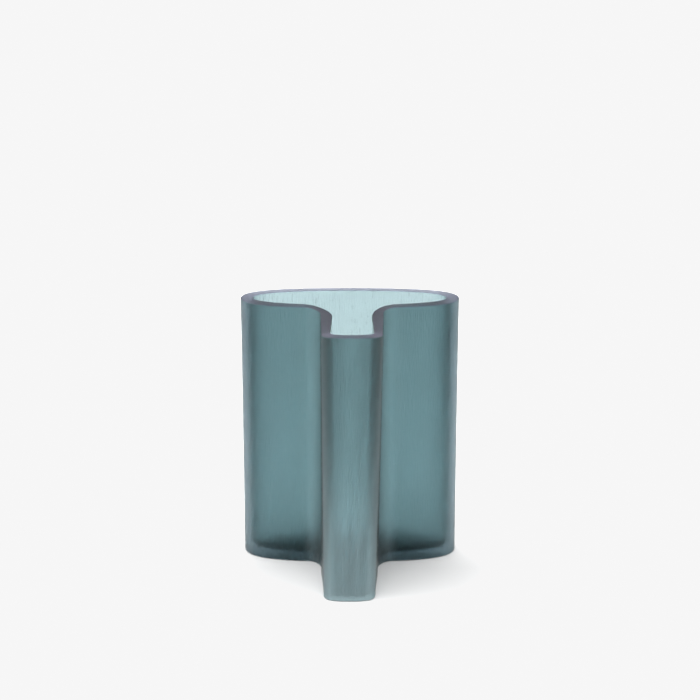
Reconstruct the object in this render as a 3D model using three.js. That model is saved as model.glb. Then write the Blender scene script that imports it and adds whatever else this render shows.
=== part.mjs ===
import * as THREE from 'three';

// A hand blown vase of cased glass: a T in plan, with a wide bar behind and a stem that stands out in front.
// It is one vessel of two layers of glass: a thick outer casing and a thin lining of another colour inside it.
// Units are millimetres, +Z is up and +Y points to the back of the bar. The origin is the middle of the
// footprint, on the ground face that the vase stands on.

// Driving dimensions
const HEIGHT = 200;
const DEPTH = 118; // from the back of the bar to the front of the stem
const BASE_THICKNESS = 6; // both layers of glass under the cavity
const LINING_THICKNESS = 2;
const SEAM = 0.3; // the gap that keeps the two fused layers apart as solids

// The T in plan, at the rim. Depths are measured forwards from the back of the bar.
// halfWidth and tipDepth place the outermost point of the bar's rounded end, and neckHalf the narrowest
// place of the stem. backFlat, frontFlat and endFullness are the reach of the curves' handles, from 0 to 1.
const OUTSIDE = {
  halfWidth: 80,
  backDepth: 0,
  tipDepth: 23,
  frontDepth: 48.4,
  frontCrown: 1.7, // the bar is this much shallower towards its ends
  neckHalf: 22.7,
  filletWidth: 10.8,
  filletDepth: 14.8,
  stemHalf: 21.8,
  stemDepth: 116.8,
  stemCrown: 1.2, // how far the middle of the stem's front stands out
  cornerRadius: 7.8,
  backFlat: 0.68,
  frontFlat: 0.68,
  endFullness: 0.66,
};
const CAVITY = {
  halfWidth: 70.3,
  backDepth: 7.8,
  tipDepth: 23.2,
  frontDepth: 39.9,
  frontCrown: 2.2,
  neckHalf: 14.1,
  filletWidth: 21.8,
  filletDepth: 28.2,
  stemHalf: 15.1,
  stemDepth: 109.3,
  stemCrown: 1.2,
  cornerRadius: 4.2,
  backFlat: 0.66,
  frontFlat: 0.6,
  endFullness: 0.58,
};

// The walls are a little narrower at the foot, and the bar's ends turn out again below the rim.
const NECK_TAPER = 1.6;
const STEM_TAPER = 2.6;
const LIP_HEIGHT = 50;
const LIP_FLARE = 0.8;

// Rounded edges
const FOOT_ARRIS = 1.2;
const RIM_ARRIS = 0.5;
const FLOOR_ROUND = 5; // where the cavity's walls run into its floor
const LEAST_RADIUS = 1; // of the stem's corners, where a plan has been moved far in

// Fineness of the faceted surfaces
const CURVE_DIVISIONS = 7;
const ROUND_DIVISIONS = 3;
const WALL_LEVELS = [20, 80, 150, 167, 184]; // heights at which a wall's plan is worked out
const CIRCLE_HANDLE = 0.5523; // handle of a Bezier curve that follows a quarter circle

// The same plan, moved out by a distance all round.
function grown(plan, distance) {
  return {
    ...plan,
    halfWidth: plan.halfWidth + distance,
    backDepth: plan.backDepth - distance,
    frontDepth: plan.frontDepth + distance,
    neckHalf: plan.neckHalf + distance,
    filletWidth: plan.filletWidth - distance,
    filletDepth: plan.filletDepth - distance,
    stemHalf: plan.stemHalf + distance,
    stemDepth: plan.stemDepth + distance,
    cornerRadius: Math.max(plan.cornerRadius + distance, LEAST_RADIUS),
  };
}

// The plan as it is at a height, from the plan at the rim.
function atHeight(plan, z) {
  const belowRim = 1 - z / HEIGHT;
  const belowLip = Math.min((HEIGHT - z) / LIP_HEIGHT, 1);
  return {
    ...plan,
    halfWidth: plan.halfWidth - LIP_FLARE * belowLip * (2 - belowLip),
    neckHalf: plan.neckHalf - NECK_TAPER * belowRim,
    stemHalf: plan.stemHalf - STEM_TAPER * belowRim,
  };
}

// The right half of the T, from the middle of its back to the middle of the stem's front.
function halfOutline(plan) {
  const round = 1 - CIRCLE_HANDLE;
  const back = -plan.backDepth;
  const tip = -plan.tipDepth;
  const front = -plan.frontDepth;
  const frontEnd = front + plan.frontCrown;
  const filletStart = plan.neckHalf + plan.filletWidth;
  const frontHandle = filletStart + plan.frontFlat * (plan.halfWidth - filletStart);
  const filletSlope = plan.frontCrown / (frontHandle - filletStart);
  const filletHandle = CIRCLE_HANDLE * plan.filletWidth;
  const neck = front - plan.filletDepth;
  const stemFront = -plan.stemDepth;
  const corner = stemFront + plan.cornerRadius;
  const third = (neck - corner) / 3;
  const flatHalf = plan.stemHalf - plan.cornerRadius;

  const half = new THREE.Path();
  half.moveTo(0, back);
  half.bezierCurveTo(
    plan.backFlat * plan.halfWidth, back,
    plan.halfWidth, tip + plan.endFullness * (back - tip),
    plan.halfWidth, tip,
  );
  half.bezierCurveTo(
    plan.halfWidth, tip + plan.endFullness * (frontEnd - tip),
    frontHandle, frontEnd,
    filletStart, front,
  );
  half.bezierCurveTo(
    filletStart - filletHandle, front - filletSlope * filletHandle,
    plan.neckHalf, neck + round * plan.filletDepth,
    plan.neckHalf, neck,
  );
  half.bezierCurveTo(
    plan.neckHalf, neck - third,
    plan.stemHalf, corner + third,
    plan.stemHalf, corner,
  );
  half.bezierCurveTo(
    plan.stemHalf, stemFront + round * plan.cornerRadius,
    plan.stemHalf - round * plan.cornerRadius, stemFront,
    flatHalf, stemFront,
  );
  half.bezierCurveTo(
    flatHalf * 2 / 3, stemFront - plan.stemCrown,
    flatHalf / 3, stemFront - plan.stemCrown,
    0, stemFront - plan.stemCrown,
  );
  return half.getPoints(CURVE_DIVISIONS);
}

// The whole outline at a height as a ring of points, anticlockwise seen from above.
function ringAt(plan, z) {
  const right = halfOutline(atHeight(plan, z)).reverse();
  const left = right.slice(1, -1).reverse().map((point) => new THREE.Vector2(-point.x, point.y));
  return [...right, ...left].map((point) => new THREE.Vector3(point.x, point.y + DEPTH / 2, z));
}

// Rings that turn a quarter round from a flat face into a wall. The face lies at faceZ, and up is 1
// where the wall rises from it.
function roundedEdge(plan, faceZ, radius, up) {
  const rings = [];
  for (let step = 0; step < ROUND_DIVISIONS; step += 1) {
    const angle = (step / ROUND_DIVISIONS) * Math.PI / 2;
    const inset = radius * (1 - Math.sin(angle));
    rings.push(ringAt(grown(plan, -inset), faceZ + up * radius * (1 - Math.cos(angle))));
  }
  rings.push(ringAt(plan, faceZ + up * radius));
  return rings;
}

// Rings up a wall, between the two heights.
function wall(plan, fromZ, toZ) {
  return WALL_LEVELS.filter((z) => z > fromZ && z < toZ).map((z) => ringAt(plan, z));
}

// Joins a row of rings into one closed body, with a flat cap on the first ring and on the last.
function loft(rings) {
  const count = rings[0].length;
  const indices = [];
  for (let row = 0; row < rings.length - 1; row += 1) {
    for (let i = 0; i < count; i += 1) {
      const low = row * count + i;
      const lowNext = row * count + (i + 1) % count;
      indices.push(low, lowNext, lowNext + count, low, lowNext + count, low + count);
    }
  }
  const flat = (ring) => ring.map((point) => new THREE.Vector2(point.x, point.y));
  const last = (rings.length - 1) * count;
  for (const [a, b, c] of THREE.ShapeUtils.triangulateShape(flat(rings[0]), [])) {
    indices.push(a, c, b);
  }
  for (const [a, b, c] of THREE.ShapeUtils.triangulateShape(flat(rings[rings.length - 1]), [])) {
    indices.push(last + a, last + b, last + c);
  }
  const geometry = new THREE.BufferGeometry().setFromPoints(rings.flat());
  geometry.setIndex(indices);
  geometry.computeVertexNormals();
  return geometry;
}

// A vessel: up the outside from the foot, over the flat rim and down the inside to the cavity's floor.
function vessel({ outside, inside, footZ, footRound, floorZ, floorRound }) {
  return loft([
    ...roundedEdge(outside, footZ, footRound, 1),
    ...wall(outside, footZ + footRound, HEIGHT),
    ringAt(outside, HEIGHT - RIM_ARRIS),
    ringAt(grown(outside, -RIM_ARRIS), HEIGHT),
    ringAt(inside, HEIGHT),
    ...wall(inside, floorZ + floorRound, HEIGHT).reverse(),
    ...roundedEdge(inside, floorZ, floorRound, 1).reverse(),
  ]);
}

// The thick outer layer: smoky mauve-grey glass, cut all over with fine upright strokes.
function outerCasing() {
  const geometry = vessel({
    outside: OUTSIDE,
    inside: grown(CAVITY, LINING_THICKNESS + SEAM),
    footZ: 0,
    footRound: FOOT_ARRIS,
    floorZ: BASE_THICKNESS - LINING_THICKNESS - SEAM,
    floorRound: FLOOR_ROUND + LINING_THICKNESS + SEAM,
  });
  const material = new THREE.MeshStandardMaterial({
    color: 0x6b8589,
    roughness: 0.45,
    metalness: 0,
    transparent: true,
    opacity: 0.6,
  });
  const mesh = new THREE.Mesh(geometry, material);
  mesh.name = 'outer_casing';
  return mesh;
}

// The thin inner layer: clear teal glass, fire polished on its inside.
function innerLining() {
  const geometry = vessel({
    outside: grown(CAVITY, LINING_THICKNESS),
    inside: CAVITY,
    footZ: BASE_THICKNESS - LINING_THICKNESS,
    footRound: FLOOR_ROUND + LINING_THICKNESS,
    floorZ: BASE_THICKNESS,
    floorRound: FLOOR_ROUND,
  });
  const material = new THREE.MeshStandardMaterial({
    color: 0x8fc3c9,
    roughness: 0.08,
    metalness: 0,
    transparent: true,
    opacity: 0.5,
  });
  const mesh = new THREE.Mesh(geometry, material);
  mesh.name = 'inner_lining';
  return mesh;
}

const vase = new THREE.Group();
vase.add(outerCasing(), innerLining());

export default vase;
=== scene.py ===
"""Hand blown vase of cased glass, a T in plan: its fine glass, the floor, the light and the camera.

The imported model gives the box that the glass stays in. Lengths are in metres, +Z is up, and +Y points to
the back of the bar.
"""

import math
from dataclasses import dataclass, replace

import bpy
import numpy as np
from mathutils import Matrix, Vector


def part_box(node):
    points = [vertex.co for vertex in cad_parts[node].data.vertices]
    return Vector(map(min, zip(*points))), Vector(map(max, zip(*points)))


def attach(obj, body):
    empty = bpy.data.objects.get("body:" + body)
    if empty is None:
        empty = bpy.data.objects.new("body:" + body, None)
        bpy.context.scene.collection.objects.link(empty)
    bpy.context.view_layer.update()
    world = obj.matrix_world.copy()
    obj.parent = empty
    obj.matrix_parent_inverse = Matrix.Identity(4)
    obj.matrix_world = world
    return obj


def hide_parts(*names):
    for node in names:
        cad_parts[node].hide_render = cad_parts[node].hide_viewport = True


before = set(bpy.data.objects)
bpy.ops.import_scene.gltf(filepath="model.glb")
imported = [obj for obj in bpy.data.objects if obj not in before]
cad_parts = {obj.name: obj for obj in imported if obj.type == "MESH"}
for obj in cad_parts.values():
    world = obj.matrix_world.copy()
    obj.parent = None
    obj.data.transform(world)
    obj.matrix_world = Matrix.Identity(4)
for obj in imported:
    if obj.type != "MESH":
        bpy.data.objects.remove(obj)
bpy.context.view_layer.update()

# The frame's own sizes
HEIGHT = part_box("outer_casing")[1][2]
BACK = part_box("outer_casing")[1][1]
LINING_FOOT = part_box("inner_lining")[0][2]

# Wall, foot and rim
MM = 0.001
LINING_THICKNESS = 2.0 * MM
LINING_SKIN = 0.05 * MM
FLOOR_HEIGHT = LINING_FOOT + LINING_THICKNESS
FLOOR_ROUND = 5 * MM
FOOT_ARRIS = 1.2 * MM
RIM_ARRIS = 0.45 * MM
LEAST_CORNER = 1 * MM

# How the plan changes with height
NECK_TAPER = 1.6 * MM
STEM_TAPER = 2.9 * MM
LIP_HEIGHT = 50 * MM
LIP_FLARE = 0.2 * MM

# The blown stem isn't quite in the middle: it is off to one side at the foot, and to the other at the rim
STEM_START = 44 * MM
STEM_BLEND = 20 * MM
FOOT_LEAN = -0.3 * MM
STEM_LEAN = 1.9 * MM

# Glass: the share of red, green and blue light that passes
SMOKE_DEPTH = 10 * MM
SMOKE_PASSED = (0.70, 0.76, 0.79)
TEAL_PASSED = (0.43, 0.515, 0.515)
GLASS_BENDING = 1.5
NO_BENDING = 1.0
ABSORPTION_HEADROOM = 1.25

# Roughness, and the fine upright cuts of the satin outside
SATIN = 0.4
POLISHED = 0.03
SMEAR_SIZE = 12 * MM
SMEAR_SPREAD = 0.5
GROOVE_PITCH = 0.45 * MM
GROOVE_DEPTH = 0.45 * MM
GROOVE_STRETCH = 0.045

# Tints of the surface. The rim's tint and the gloss tint are painted shade: they darken the rim and the
# reflections
CLEAR = (1, 1, 1, 1)
SATIN_TINT = (0.85, 0.965, 1.0, 1)
# Tint of the scattered light, for the satin scatter and the painted light alike
HAZE_AND_PAINTED_LIGHT_TINT = (0.66, 0.88, 0.93, 1)
# Painted shade: a darker purple-grey on the ground rim
RIM_PAINTED_SHADE = (0.66, 0.62, 0.86, 1)
# Painted shade: reflections dimmed and tinted teal, which darkens the rim and the edges
GLOSS_PAINTED_SHADE = (0.3, 0.5, 0.55, 1)

# The share of light that the surface scatters, as satin scatter on the ground rim and on tight bends. On the
# stem's front it is raised as painted light, most near the foot, with a pale strip just above the foot; in
# the lowest strip it is taken away, a painted contact shadow
GROUND_HAZE = 0.03
CORNER_HAZE = 0.06
SHARP_RADIUS = 10 * MM
BEND_STEPS = 4
# Painted light: extra scatter on the stem's front, and more towards the foot, so it renders lighter
STEM_PAINTED_LIGHT = 0.03
FRONT_DEPTH = 30 * MM
FOOT_PAINTED_LIGHT = 0.055
FOOT_PAINTED_LIGHT_HEIGHT = 90 * MM
ARRIS_HAZE = 0.1
ARRIS_HAZE_HEIGHT = 5 * MM
# Painted contact shadow: below this height the scatter is taken away, leaving a dark line at the foot
PAINTED_SHADOW_LINE_HEIGHT = 0.9 * MM
FULL_HAZE_AND_PAINTED_LIGHT = 0.08

# Floor of pale paper. Light that reaches the glass from beyond its edge, at the sides and in front, is dimmer
FLOOR_HALF = 8.0
FLOOR_DROP = 0.3 * MM
FLOOR_ALBEDO = 0.93
# Painted shade: the paper is darker from the vase forwards, which deepens the contact shadows
NEAR_PAINTED_SHADE_ALBEDO = 0.66
BACK_DISTANCE = 0.11
EDGE_ALBEDO = 0.2
PAPER_EDGE = (0.19, 0.5)
PAPER_WIDENING = 0.6

# Light: soft boxes as a direction, the cosines where they start and are full, and their strength
ROOM_LIGHT = 0.3
SOFT_BOXES = (
    ((-0.2, 0.1, 0.97), 0.5, 0.9, 3.0),
    ((-1, 0, 0.1), 0.6, 0.95, 1.5),
    ((1, 0, 0.1), 0.6, 0.95, 1.5),
)
FRONT_FILL_POWER = 0.16
FRONT_FILL_SIZE = 0.05
FRONT_FILL_PLACE = (0, -0.15, 0.02)
FRONT_FILL_TILT = 85

# Camera and picture
CAMERA_LENS = 108
CAMERA_SENSOR = 36
CAMERA_SIDE = 0.0001
CAMERA_DISTANCE = 1.4879
CAMERA_HEIGHT = 0.6617
CAMERA_DOWN = 18.94
FAR_END = 50
PAPER_WHITE = 0.923
MAX_BOUNCES = 32

# Fineness of the meshes
AROUND = 360
WALL_LEVELS = 48
ROUND_LEVELS = 6
SAMPLES_PER_CURVE = 60
SHARP_ANGLE = 40
CIRCLE_HANDLE = 0.5523


@dataclass
class Plan:
    """The right half of the T. Depths are measured forwards from the back of the bar."""
    half_width: float
    back_depth: float
    tip_depth: float
    front_depth: float
    front_crown: float
    neck_half: float
    fillet_width: float
    fillet_depth: float
    stem_half: float
    stem_depth: float
    stem_crown: float
    corner_radius: float
    back_flat: float
    front_flat: float
    end_fullness: float


OUTSIDE = Plan(
    half_width=79.9 * MM, back_depth=0.05 * MM, tip_depth=24 * MM,
    front_depth=48 * MM, front_crown=1.7 * MM,
    neck_half=22.6 * MM, fillet_width=10.6 * MM, fillet_depth=15 * MM,
    stem_half=21.6 * MM, stem_depth=116.6 * MM, stem_crown=1.2 * MM, corner_radius=7.6 * MM,
    back_flat=0.74, front_flat=0.65, end_fullness=0.66,
)
CAVITY = Plan(
    half_width=70.3 * MM, back_depth=7.8 * MM, tip_depth=24.6 * MM,
    front_depth=39.4 * MM, front_crown=2.4 * MM,
    neck_half=14.1 * MM, fillet_width=21.5 * MM, fillet_depth=28.6 * MM,
    stem_half=15.1 * MM, stem_depth=109.0 * MM, stem_crown=1.2 * MM, corner_radius=4.2 * MM,
    back_flat=0.7, front_flat=0.58, end_fullness=0.58,
)


def grown(plan, distance):
    """The same plan, moved out by a distance all round."""
    return replace(
        plan,
        half_width=plan.half_width + distance,
        back_depth=plan.back_depth - distance,
        front_depth=plan.front_depth + distance,
        neck_half=plan.neck_half + distance,
        fillet_width=plan.fillet_width - distance,
        fillet_depth=plan.fillet_depth - distance,
        stem_half=plan.stem_half + distance,
        stem_depth=plan.stem_depth + distance,
        corner_radius=max(plan.corner_radius + distance, LEAST_CORNER),
    )


def at_height(plan, z):
    """The plan as it is at a height, from the plan at the rim."""
    below_rim = 1 - z / HEIGHT
    below_lip = min((HEIGHT - z) / LIP_HEIGHT, 1)
    return replace(
        plan,
        half_width=plan.half_width - LIP_FLARE * below_lip * (2 - below_lip),
        neck_half=plan.neck_half - NECK_TAPER * below_rim,
        stem_half=plan.stem_half - STEM_TAPER * below_rim,
    )


def bezier(*handles):
    """Points along a cubic curve, without its last."""
    t = np.linspace(0, 1, SAMPLES_PER_CURVE, endpoint=False)[:, None]
    a, b, c, d = (np.array(handle) for handle in handles)
    return (1 - t) ** 3 * a + 3 * (1 - t) ** 2 * t * b + 3 * (1 - t) * t ** 2 * c + t ** 3 * d


def half_outline(plan):
    """The right half of the T, from the middle of its back to the middle of the stem's front."""
    rest = 1 - CIRCLE_HANDLE
    back = -plan.back_depth
    tip = -plan.tip_depth
    front = -plan.front_depth
    front_end = front + plan.front_crown
    fillet_start = plan.neck_half + plan.fillet_width
    front_handle = fillet_start + plan.front_flat * (plan.half_width - fillet_start)
    slope = plan.front_crown / (front_handle - fillet_start)
    handle = CIRCLE_HANDLE * plan.fillet_width
    neck = front - plan.fillet_depth
    stem_front = -plan.stem_depth
    corner = stem_front + plan.corner_radius
    third = (neck - corner) / 3
    flat = plan.stem_half - plan.corner_radius
    nose = stem_front - plan.stem_crown
    wide, narrow, stem, radius = plan.half_width, plan.neck_half, plan.stem_half, plan.corner_radius
    return np.vstack([
        bezier((0, back), (plan.back_flat * wide, back), (wide, tip + plan.end_fullness * (back - tip)),
               (wide, tip)),
        bezier((wide, tip), (wide, tip + plan.end_fullness * (front_end - tip)), (front_handle, front_end),
               (fillet_start, front)),
        bezier((fillet_start, front), (fillet_start - handle, front - slope * handle),
               (narrow, neck + rest * plan.fillet_depth), (narrow, neck)),
        bezier((narrow, neck), (narrow, neck - third), (stem, corner + third), (stem, corner)),
        bezier((stem, corner), (stem, stem_front + rest * radius), (stem - rest * radius, stem_front),
               (flat, stem_front)),
        bezier((flat, stem_front), (flat * 2 / 3, nose), (flat / 3, nose), (0, nose)),
        [(0, nose)],
    ])


def evenly_spaced(points, count):
    """A closed line of points spaced evenly along its length."""
    closed = np.vstack([points, points[:1]])
    along = np.concatenate([[0], np.cumsum(np.linalg.norm(np.diff(closed, axis=0), axis=1))])
    at = np.linspace(0, along[-1], count, endpoint=False)
    return np.column_stack([np.interp(at, along, closed[:, axis]) for axis in (0, 1)])


def ring(plan, z):
    """The whole outline at a height, anticlockwise seen from above."""
    right = half_outline(at_height(plan, z))[::-1]
    left = right[1:-1][::-1] * (-1, 1)
    points = evenly_spaced(np.vstack([right, left]), AROUND)
    forward = np.clip((-points[:, 1] - STEM_START) / STEM_BLEND, 0, 1)
    points[:, 0] += (FOOT_LEAN + STEM_LEAN * z / HEIGHT) * forward
    return np.column_stack([points[:, 0], points[:, 1] + BACK, np.full(AROUND, z)])


def rounded_edge(plan, face_z, radius):
    """Rings that turn a quarter round from a flat face up into a wall."""
    rings = []
    for step in range(ROUND_LEVELS + 1):
        angle = step / ROUND_LEVELS * math.pi / 2
        inset = radius * (1 - math.sin(angle))
        rings.append(ring(grown(plan, -inset), face_z + radius * (1 - math.cos(angle))))
    return rings


def wall(plan, low_z, high_z):
    """Rings up a wall, without the two at its ends."""
    return [ring(plan, z) for z in np.linspace(low_z, high_z, WALL_LEVELS + 2)[1:-1]]


def haze_and_painted_light_at(points):
    """How much the satin scatters at the points of a ring on tight bends, plus painted light on the stem's
    front that grows towards the foot, and a painted contact shadow where the scatter is taken away at the
    very foot.
    """
    ahead = (np.roll(points, -BEND_STEPS, axis=0) - points)[:, :2]
    astern = (points - np.roll(points, BEND_STEPS, axis=0))[:, :2]
    turn = ahead[:, 0] * astern[:, 1] - ahead[:, 1] * astern[:, 0]
    step = np.linalg.norm(ahead, axis=1)
    bend = np.abs(turn) / (step * np.linalg.norm(astern, axis=1)) / step
    corner = np.clip(bend * SHARP_RADIUS, 0, 1)
    front = np.clip(-points[:, 1] / FRONT_DEPTH, 0, 1)
    low = np.clip(1 - points[:, 2] / FOOT_PAINTED_LIGHT_HEIGHT, 0, 1)
    lowest = np.clip(1 - points[:, 2] / ARRIS_HAZE_HEIGHT, 0, 1)
    # Painted contact shadow: no scatter in the lowest strip, so a dark line shows at the foot
    off_floor = np.clip(points[:, 2] / PAINTED_SHADOW_LINE_HEIGHT, 0, 1)
    # Painted light on the stem's front, strongest near the foot, plus a pale strip just above it
    stem = front * (STEM_PAINTED_LIGHT + low ** 2 * FOOT_PAINTED_LIGHT + lowest * ARRIS_HAZE)
    return off_floor * (corner * CORNER_HAZE + stem)


def loft(name, rings, finishes):
    """One closed mesh through the rings, with a flat cap on the first and the last.

    finishes holds lists by name, with one value for each ring.
    """
    rows = len(rings)
    quads = [
        (row * AROUND + i, row * AROUND + (i + 1) % AROUND,
         (row + 1) * AROUND + (i + 1) % AROUND, (row + 1) * AROUND + i)
        for row in range(rows - 1) for i in range(AROUND)
    ]
    foot = tuple(range(AROUND))[::-1]
    floor = tuple(range((rows - 1) * AROUND, rows * AROUND))
    mesh = bpy.data.meshes.new(name)
    mesh.from_pydata(np.vstack(rings).tolist(), [], [*quads, foot, floor])
    mesh.polygons.foreach_set("use_smooth", [True] * len(mesh.polygons))
    mesh.set_sharp_from_angle(angle=math.radians(SHARP_ANGLE))
    for finish, values in finishes.items():
        attribute = mesh.attributes.new(finish, "FLOAT", "POINT")
        attribute.data.foreach_set("value", np.repeat(values, AROUND))
    haze_and_painted_light = mesh.attributes.new("haze_and_painted_light", "FLOAT", "POINT")
    haze_and_painted_light.data.foreach_set("value", np.concatenate([haze_and_painted_light_at(points) for points in rings]))
    piece = bpy.data.objects.new(name, mesh)
    bpy.context.scene.collection.objects.link(piece)
    return piece


def vessel(name, outside, inside, foot_z, foot_round, floor_z, floor_round, rim_z):
    """Up the outside from the foot, over the flat rim and down the inside to the cavity's floor."""
    outer = [
        *rounded_edge(outside, foot_z, foot_round),
        *wall(outside, foot_z + foot_round, rim_z - RIM_ARRIS),
        ring(outside, rim_z - RIM_ARRIS),
    ]
    rim = [
        ring(grown(outside, -RIM_ARRIS), rim_z),
        ring(grown(inside, RIM_ARRIS), rim_z),
    ]
    inner = [
        ring(inside, rim_z - RIM_ARRIS),
        *wall(inside, floor_z + floor_round, rim_z - RIM_ARRIS)[::-1],
        *rounded_edge(inside, floor_z, floor_round)[::-1],
    ]
    finishes = {
        "polish": [0.0] * (len(outer) + len(rim)) + [1.0] * len(inner),
        "ground": [0.0] * len(outer) + [1.0] * len(rim) + [0.0] * len(inner),
    }
    return loft(name, outer + rim + inner, finishes)


def absorbing(passed, depth):
    """Colour and density of a Volume Absorption that passes this share of each colour at that depth."""
    taken = [-math.log(share) / depth for share in passed]
    density = max(taken) * ABSORPTION_HEADROOM
    return (*(1 - value / density for value in taken), 1), density


def glass(name, passed, depth, bending):
    """Clear material with an even colour in its depth."""
    material = bpy.data.materials.new(name)
    material.use_nodes = True
    nodes, links = material.node_tree.nodes, material.node_tree.links
    surface = nodes["Principled BSDF"]
    surface.distribution = "GGX"
    surface.inputs["Base Color"].default_value = CLEAR
    surface.inputs["Transmission Weight"].default_value = 1
    surface.inputs["IOR"].default_value = bending
    volume = nodes.new("ShaderNodeVolumeAbsorption")
    colour, density = absorbing(passed, depth)
    volume.inputs["Color"].default_value = colour
    volume.inputs["Density"].default_value = density
    links.new(volume.outputs[0], nodes["Material Output"].inputs["Volume"])
    return material, nodes, links, surface


def fill(links, socket, value):
    """Set a socket to a number or a colour, or link it to the socket given."""
    if isinstance(value, bpy.types.NodeSocket):
        links.new(value, socket)
    else:
        socket.default_value = value


def computed(nodes, links, operation, *values):
    """The result of one maths node on sockets or numbers."""
    node = nodes.new("ShaderNodeMath")
    node.operation = operation
    for socket, value in zip(node.inputs, values):
        fill(links, socket, value)
    return node.outputs[0]


def graded(nodes, links, value, start, end, low, high, curve="LINEAR"):
    """low where the value is at its start, high where it is at its end, and between them in between."""
    node = nodes.new("ShaderNodeMapRange")
    node.interpolation_type = curve
    given = {"Value": value, "From Min": start, "From Max": end, "To Min": low, "To Max": high}
    for socket, amount in given.items():
        fill(links, node.inputs[socket], amount)
    return node.outputs[0]


def blended(nodes, links, share, first, second):
    """A colour between two, by a share."""
    node = nodes.new("ShaderNodeMix")
    node.data_type = "RGBA"
    fill(links, node.inputs["Factor"], share)
    fill(links, node.inputs["A"], first)
    fill(links, node.inputs["B"], second)
    return node.outputs["Result"]


def finish(nodes, name):
    """A finish that loft wrote on the mesh, as a socket."""
    node = nodes.new("ShaderNodeAttribute")
    node.attribute_name = name
    return node.outputs["Fac"]


def smears(nodes, links):
    """The roughness of polished glass, uneven by a little."""
    where = nodes.new("ShaderNodeTexCoord")
    noise = nodes.new("ShaderNodeTexNoise")
    noise.inputs["Scale"].default_value = 1 / SMEAR_SIZE
    links.new(where.outputs["Object"], noise.inputs["Vector"])
    smoothest = POLISHED * (1 - SMEAR_SPREAD)
    roughest = POLISHED * (1 + SMEAR_SPREAD)
    return graded(nodes, links, noise.outputs["Fac"], 0, 1, smoothest, roughest)


def upright_cuts(nodes, links, polish):
    """A bump of fine upright grooves, which fades out where the glass is polished."""
    where = nodes.new("ShaderNodeTexCoord")
    stretch = nodes.new("ShaderNodeMapping")
    stretch.inputs["Scale"].default_value = (1, 1, GROOVE_STRETCH)
    links.new(where.outputs["Object"], stretch.inputs["Vector"])
    grooves = nodes.new("ShaderNodeTexNoise")
    grooves.inputs["Scale"].default_value = 1 / GROOVE_PITCH
    grooves.inputs["Detail"].default_value = 1
    links.new(stretch.outputs[0], grooves.inputs["Vector"])
    bump = nodes.new("ShaderNodeBump")
    bump.inputs["Distance"].default_value = GROOVE_DEPTH
    links.new(graded(nodes, links, polish, 0, 1, 1, 0), bump.inputs["Strength"])
    links.new(grooves.outputs["Fac"], bump.inputs["Height"])
    return bump.outputs[0]


def smoke_glass():
    """Smoke-coloured glass: satin outside, ground on the rim and polished inside."""
    material, nodes, links, surface = glass("satin_smoke", SMOKE_PASSED, SMOKE_DEPTH, GLASS_BENDING)
    polish = finish(nodes, "polish")
    ground = finish(nodes, "ground")
    haze_and_painted_light = finish(nodes, "haze_and_painted_light")
    # The scattered share carries painted light on the stem's front as well as the satin scatter
    outside = computed(nodes, links, "SUBTRACT", 1, polish)
    scattered = computed(nodes, links, "MULTIPLY", haze_and_painted_light, outside)
    scattered = computed(nodes, links, "MULTIPLY_ADD", ground, GROUND_HAZE, scattered)
    links.new(computed(nodes, links, "SUBTRACT", 1, scattered), surface.inputs["Transmission Weight"])
    haze_and_painted_light_share = computed(nodes, links, "DIVIDE", haze_and_painted_light, FULL_HAZE_AND_PAINTED_LIGHT)
    satin = blended(nodes, links, haze_and_painted_light_share, SATIN_TINT, HAZE_AND_PAINTED_LIGHT_TINT)
    # The ground rim gets painted shade, darker and purple-grey
    unpolished = blended(nodes, links, ground, satin, RIM_PAINTED_SHADE)
    links.new(blended(nodes, links, polish, unpolished, CLEAR), surface.inputs["Base Color"])
    # The specular tint dims and tints the reflections: painted shade on the rim and edges
    surface.inputs["Specular Tint"].default_value = GLOSS_PAINTED_SHADE
    roughness = graded(nodes, links, polish, 0, 1, SATIN, smears(nodes, links))
    links.new(roughness, surface.inputs["Roughness"])
    links.new(upright_cuts(nodes, links, polish), surface.inputs["Normal"])
    return material


def teal_glass():
    """Polished teal glass. The smoke glass around it bends the light, so this bends none."""
    material, nodes, links, surface = glass("polished_teal", TEAL_PASSED, LINING_THICKNESS, NO_BENDING)
    links.new(smears(nodes, links), surface.inputs["Roughness"])
    return material


def outer_casing():
    """The whole wall and base, out to the satin outside."""
    piece = vessel(
        "casing_glass", OUTSIDE, CAVITY,
        0, FOOT_ARRIS, FLOOR_HEIGHT, FLOOR_ROUND, HEIGHT,
    )
    piece.data.materials.append(smoke_glass())
    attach(piece, "root")
    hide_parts("outer_casing")


def inner_lining():
    """The teal layer, a skin's depth inside the polished face, so that no two faces coincide."""
    piece = vessel(
        "lining_glass", grown(CAVITY, LINING_THICKNESS), grown(CAVITY, LINING_SKIN),
        LINING_FOOT, FLOOR_ROUND + LINING_THICKNESS, FLOOR_HEIGHT - LINING_SKIN, FLOOR_ROUND,
        HEIGHT - LINING_SKIN,
    )
    piece.data.materials.append(teal_glass())
    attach(piece, "root")
    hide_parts("inner_lining")


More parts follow.
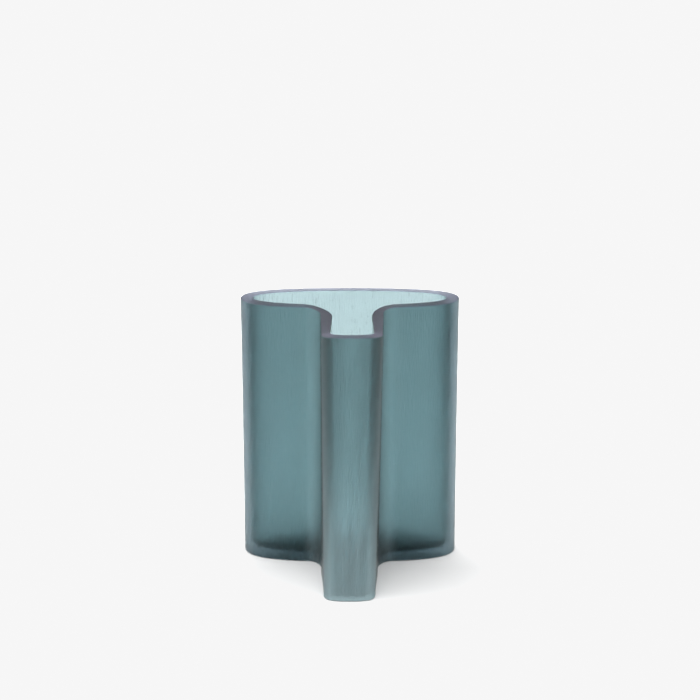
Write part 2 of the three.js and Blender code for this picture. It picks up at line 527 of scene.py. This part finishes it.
def pale_paper():
    """Matt paper, dimmer beyond its edge to all but the camera, and darker from the vase forwards, a painted
    shade that deepens the vase's shadows on it.
    """
    material = bpy.data.materials.new("floor_paper")
    material.use_nodes = True
    nodes, links = material.node_tree.nodes, material.node_tree.links
    surface = nodes["Principled BSDF"]
    surface.inputs["Roughness"].default_value = 1
    surface.inputs["Specular IOR Level"].default_value = 0
    where = nodes.new("ShaderNodeTexCoord")
    split = nodes.new("ShaderNodeSeparateXYZ")
    links.new(where.outputs["Object"], split.inputs[0])
    x, y, _ = split.outputs
    before = computed(nodes, links, "MINIMUM", y, 0)
    behind = computed(nodes, links, "MAXIMUM", y, 0)
    widening = computed(nodes, links, "MULTIPLY_ADD", behind, PAPER_WIDENING, 1)
    across = computed(nodes, links, "DIVIDE", x, widening)
    across_squared = computed(nodes, links, "MULTIPLY", across, across)
    before_squared = computed(nodes, links, "MULTIPLY", before, before)
    away = computed(nodes, links, "SQRT", computed(nodes, links, "ADD", across_squared, before_squared))
    paper = graded(nodes, links, away, *PAPER_EDGE, FLOOR_ALBEDO, EDGE_ALBEDO, "SMOOTHSTEP")
    directly = nodes.new("ShaderNodeLightPath").outputs["Is Camera Ray"]
    seen = computed(nodes, links, "MULTIPLY", directly, FLOOR_ALBEDO)
    # Painted shade on the paper, darker from the vase forwards
    nearness = graded(nodes, links, y, 0, BACK_DISTANCE, NEAR_PAINTED_SHADE_ALBEDO / FLOOR_ALBEDO, 1)
    albedo = computed(nodes, links, "MULTIPLY", computed(nodes, links, "MAXIMUM", paper, seen), nearness)
    links.new(albedo, surface.inputs["Base Color"])
    return material


def floor():
    """A flat floor, just under the foot."""
    corners = [(-FLOOR_HALF, -FLOOR_HALF, 0), (FLOOR_HALF, -FLOOR_HALF, 0),
               (FLOOR_HALF, FLOOR_HALF, 0), (-FLOOR_HALF, FLOOR_HALF, 0)]
    mesh = bpy.data.meshes.new("floor")
    mesh.from_pydata(corners, [], [(0, 1, 2, 3)])
    mesh.materials.append(pale_paper())
    plane = bpy.data.objects.new("floor", mesh)
    plane.location.z = -FLOOR_DROP
    bpy.context.scene.collection.objects.link(plane)


def studio_light():
    """Wide soft boxes around a dimmer room. The camera itself sees the room as white."""
    world = bpy.data.worlds.new("studio")
    bpy.context.scene.world = world
    world.use_nodes = True
    nodes, links = world.node_tree.nodes, world.node_tree.links
    where = nodes.new("ShaderNodeTexCoord")
    total = ROOM_LIGHT
    for direction, edge, middle, strength in SOFT_BOXES:
        facing = nodes.new("ShaderNodeVectorMath")
        facing.operation = "DOT_PRODUCT"
        facing.inputs[1].default_value = direction
        links.new(where.outputs["Generated"], facing.inputs[0])
        panel = graded(nodes, links, facing.outputs["Value"], edge, middle, 0, strength, "SMOOTHSTEP")
        total = computed(nodes, links, "ADD", total, panel)
    directly = nodes.new("ShaderNodeLightPath").outputs["Is Camera Ray"]
    links.new(computed(nodes, links, "MAXIMUM", total, directly), nodes["Background"].inputs["Strength"])
    nodes["Background"].inputs["Color"].default_value = CLEAR


def front_fill():
    """A small light low in front. It lights the stem's front, where the raised scatter is painted light, and
    isn't seen through the glass.
    """
    lamp = bpy.data.lights.new("front_fill", "AREA")
    lamp.energy = FRONT_FILL_POWER
    lamp.size = FRONT_FILL_SIZE
    light = bpy.data.objects.new("front_fill", lamp)
    light.location = FRONT_FILL_PLACE
    light.rotation_euler = (math.radians(FRONT_FILL_TILT), 0, 0)
    light.visible_camera = False
    light.visible_transmission = False
    bpy.context.scene.collection.objects.link(light)


def camera():
    """A level camera in front of the vase, looking down on it."""
    data = bpy.data.cameras.new("camera")
    data.lens = CAMERA_LENS
    data.sensor_width = CAMERA_SENSOR
    data.clip_end = FAR_END
    eye = bpy.data.objects.new("camera", data)
    eye.location = (CAMERA_SIDE, BACK - CAMERA_DISTANCE, CAMERA_HEIGHT)
    eye.rotation_euler = (math.radians(90 - CAMERA_DOWN), 0, 0)
    bpy.context.scene.collection.objects.link(eye)
    bpy.context.scene.camera = eye


def picture_settings():
    """A plain view that stops at the white of the paper, and enough bounces for thick glass."""
    scene = bpy.context.scene
    view = scene.view_settings
    view.view_transform = "Standard"
    view.use_curve_mapping = True
    curves = view.curve_mapping
    curves.extend = "HORIZONTAL"
    brightest = curves.curves[3]
    brightest.points.new(PAPER_WHITE, PAPER_WHITE)
    brightest.points[-1].location = (1, PAPER_WHITE)
    for point in brightest.points:
        point.handle_type = "VECTOR"
    curves.update()
    scene.cycles.max_bounces = MAX_BOUNCES
    scene.cycles.transmission_bounces = MAX_BOUNCES
    scene.cycles.transparent_max_bounces = MAX_BOUNCES


outer_casing()
inner_lining()
floor()
studio_light()
front_fill()
camera()
picture_settings()
